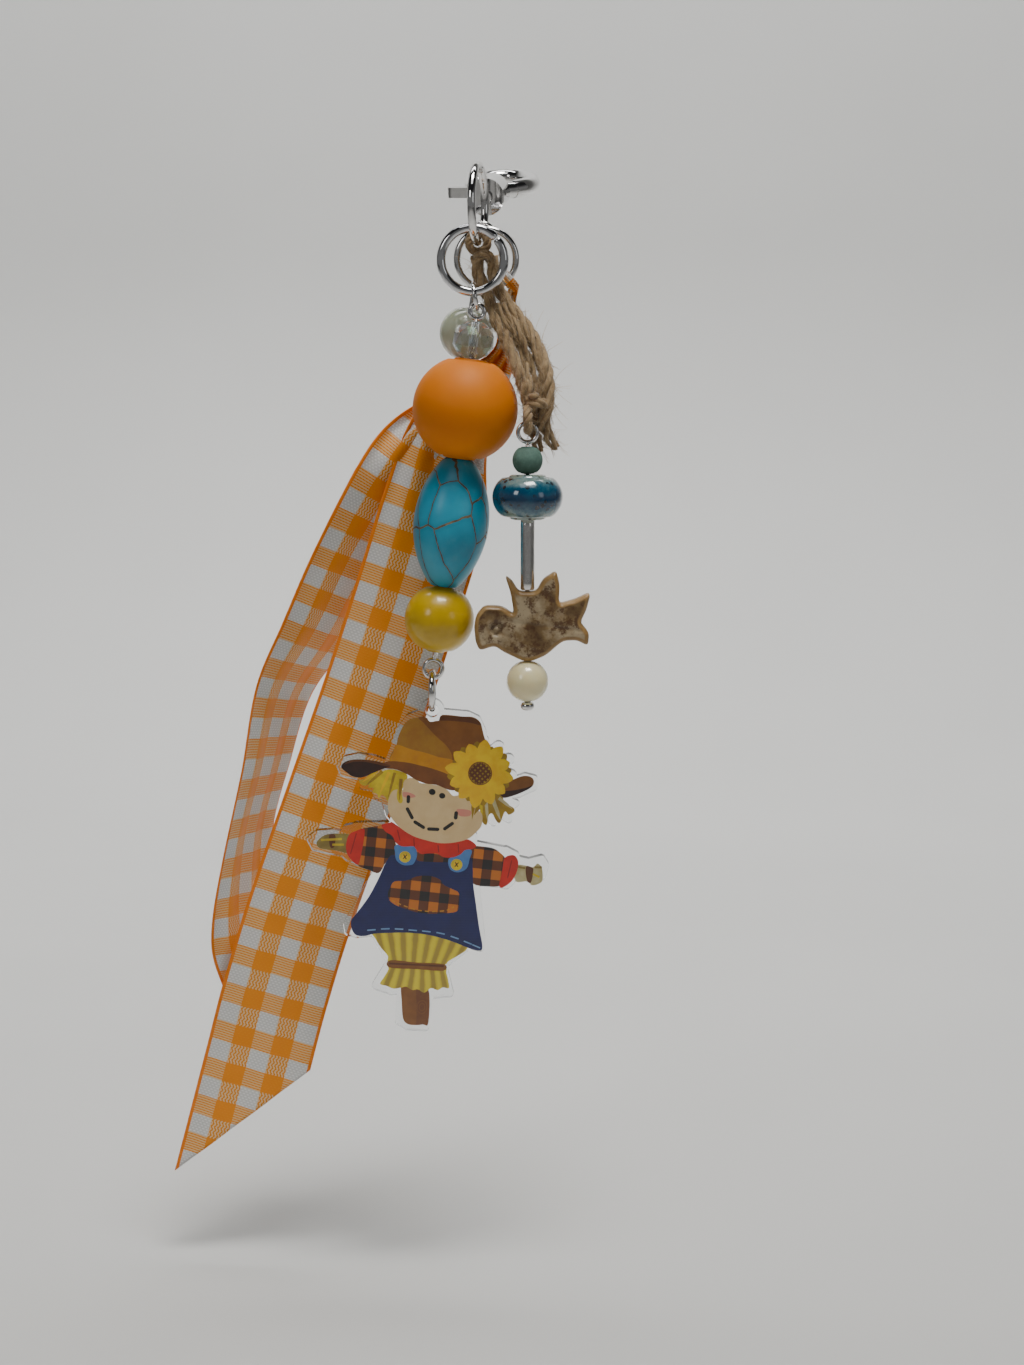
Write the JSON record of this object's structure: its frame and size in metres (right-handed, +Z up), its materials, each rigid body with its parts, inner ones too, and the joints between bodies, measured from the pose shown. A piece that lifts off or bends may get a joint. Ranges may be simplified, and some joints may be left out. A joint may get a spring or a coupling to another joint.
{
  "type": "bag charm",
  "caption": "Autumn bag charm: swivel lobster clasp, rings, beaded strand with a flat acrylic scarecrow, a leaf dangle on jute twine and a long gingham ribbon.",
  "frame": {"origin": "middle of the clasp's opening, where the bar that it hangs from passes", "axes": "+Z up, the charm hangs down -Z and in front of the clasp towards -Y, +X to the right seen from the front"},
  "size_m": [0.0642, 0.0362, 0.15],
  "materials": {
    "silver": "bright silver plate",
    "gunmetal_ring": "bright plated steel, slightly darker",
    "spring_steel": "drawn wire",
    "crystal": "faceted clear glass with a faint iridescent coat",
    "silicone_orange": "matt silicone",
    "turquoise": "satin dyed stone with brown crackle veins",
    "glaze_yellow": "gloss glaze with fine specks",
    "acrylic": "clear cast acrylic",
    "print": "full colour print under clear gloss",
    "jute": "rough twisted jute",
    "sage": "matt",
    "glaze_teal": "gloss reactive glaze",
    "leaf_clay": "satin speckled stoneware with a tan rim",
    "cream": "pearly",
    "pale_green": "polished translucent",
    "ribbon": "sheer woven orange and white gingham"
  },
  "bodies": {
    "clasp": {"clasp_body": "silver", "lever_rivet": "silver", "lever_spring": "spring_steel"},
    "lever": {"clasp_lever": "silver"},
    "eye": {"swivel_eye": "silver"},
    "big_ring": {"big_ring": "gunmetal_ring"},
    "strand_ring": {"strand_ring": "silver"},
    "strand": {"strand_pin": "silver"},
    "crystal": {"crystal_bead": "crystal"},
    "orange": {"orange_bead": "silicone_orange"},
    "turquoise": {"turquoise_bead": "turquoise"},
    "yellow": {"yellow_bead": "glaze_yellow"},
    "charm_ring": {"charm_ring": "silver"},
    "scarecrow": {"scarecrow_plate": "acrylic", "scarecrow_print": "print"},
    "twine": {"twine_wrap": "jute", "twine_strand_a": "jute", "twine_strand_b": "jute", "twine_knot": "jute"},
    "leaf_dangle": {"leaf_pin": "silver", "end_crimp": "silver"},
    "sage": {"sage_bead": "sage"},
    "rondelle": {"rondelle_bead": "glaze_teal"},
    "tube": {"tube_bead": "silver"},
    "leaf": {"leaf_bead": "leaf_clay"},
    "cream": {"cream_bead": "cream"},
    "pale_dangle": {"pale_pin": "silver"},
    "pale": {"pale_bead": "pale_green"},
    "ribbon": {"ribbon_ring": "silver", "ribbon_gather": "ribbon", "ribbon_front": "ribbon", "ribbon_back": "ribbon"}
  },
  "joints": [
    {"name": "lever_hinge", "type": "hinge", "parent": "clasp", "child": "lever", "pos_m": [-0.00335, -0.00668, -0.00152], "axis": [0.0343, 0.2051, -0.9781], "range_deg": [0, 22], "stiffness_Nm_per_rad": 0.02, "springref_deg": -2.86},
    {"name": "eye_swivel", "type": "hinge", "parent": "clasp", "child": "eye", "pos_m": [-0.00299, -0.01785, -0.00385], "axis": [0.1614, 0.9647, 0.2079], "continuous": true},
    {"name": "big_ring_swing", "type": "hinge", "parent": "eye", "child": "big_ring", "pos_m": [-0.00335, -0.01999, -0.00873], "axis": [0, 1, 0], "range_deg": [0, 12]},
    {"name": "strand_ring_swing", "type": "hinge", "parent": "big_ring", "child": "strand_ring", "pos_m": [-0.00353, -0.01999, -0.01615], "axis": [1, 0, 0], "range_deg": [-9, 0]},
    {"name": "strand_swing", "type": "hinge", "parent": "strand_ring", "child": "strand", "pos_m": [-0.00309, -0.01999, -0.01865], "axis": [0, 1, 0], "range_deg": [0, 20]},
    {"name": "crystal_spin", "type": "hinge", "parent": "strand", "child": "crystal", "pos_m": [-0.00313, -0.01999, -0.01895], "axis": [-0.1253, 0, -0.9921], "continuous": true},
    {"name": "orange_spin", "type": "hinge", "parent": "strand", "child": "orange", "pos_m": [-0.00313, -0.01999, -0.01895], "axis": [-0.1253, 0, -0.9921], "continuous": true},
    {"name": "turquoise_spin", "type": "hinge", "parent": "strand", "child": "turquoise", "pos_m": [-0.00313, -0.01999, -0.01895], "axis": [-0.1253, 0, -0.9921], "continuous": true},
    {"name": "yellow_spin", "type": "hinge", "parent": "strand", "child": "yellow", "pos_m": [-0.00313, -0.01999, -0.01895], "axis": [-0.1253, 0, -0.9921], "continuous": true},
    {"name": "charm_ring_swing", "type": "hinge", "parent": "strand", "child": "charm_ring", "pos_m": [-0.00973, -0.01999, -0.07118], "axis": [1, 0, 0], "range_deg": [-25, 8]},
    {"name": "scarecrow_swing", "type": "hinge", "parent": "charm_ring", "child": "scarecrow", "pos_m": [-0.00973, -0.01999, -0.07593], "axis": [0, 1, 0], "range_deg": [-25, 25]},
    {"name": "leaf_swing", "type": "hinge", "parent": "twine", "child": "leaf_dangle", "pos_m": [0.004, -0.0235, -0.0355], "axis": [0, 1, 0], "range_deg": [-25, 0]},
    {"name": "sage_spin", "type": "hinge", "parent": "leaf_dangle", "child": "sage", "pos_m": [0.004, -0.0235, -0.0397], "axis": [0, 0, 1], "continuous": true},
    {"name": "rondelle_spin", "type": "hinge", "parent": "leaf_dangle", "child": "rondelle", "pos_m": [0.004, -0.0235, -0.0449], "axis": [0, 0, 1], "continuous": true},
    {"name": "tube_spin", "type": "hinge", "parent": "leaf_dangle", "child": "tube", "pos_m": [0.004, -0.0235, -0.0531], "axis": [0, 0, 1], "continuous": true},
    {"name": "leaf_turn", "type": "hinge", "parent": "leaf_dangle", "child": "leaf", "pos_m": [0.004, -0.0235, -0.063], "axis": [0, 0, 1], "range_deg": [0, 90]},
    {"name": "cream_spin", "type": "hinge", "parent": "leaf_dangle", "child": "cream", "pos_m": [0.004, -0.0235, -0.0712], "axis": [0, 0, 1], "continuous": true},
    {"name": "twine_swing", "type": "hinge", "parent": "eye", "child": "twine", "pos_m": [-0.00299, -0.01785, -0.0092], "axis": [0.165, 0.9863, 0], "range_deg": [-12, 0]},
    {"name": "pale_swing", "type": "hinge", "parent": "eye", "child": "pale_dangle", "pos_m": [-0.00236, -0.01412, -0.00763], "axis": [1, 0, 0], "range_deg": [0, 12]},
    {"name": "pale_spin", "type": "hinge", "parent": "pale_dangle", "child": "pale", "pos_m": [-0.0048, -0.0126, -0.022], "axis": [-0.1663, 0.1035, -0.9806], "continuous": true},
    {"name": "ribbon_swing", "type": "hinge", "parent": "eye", "child": "ribbon", "pos_m": [-0.0026, -0.01553, -0.00865], "axis": [1, 0, 0], "range_deg": [0, 9]}
  ]
}
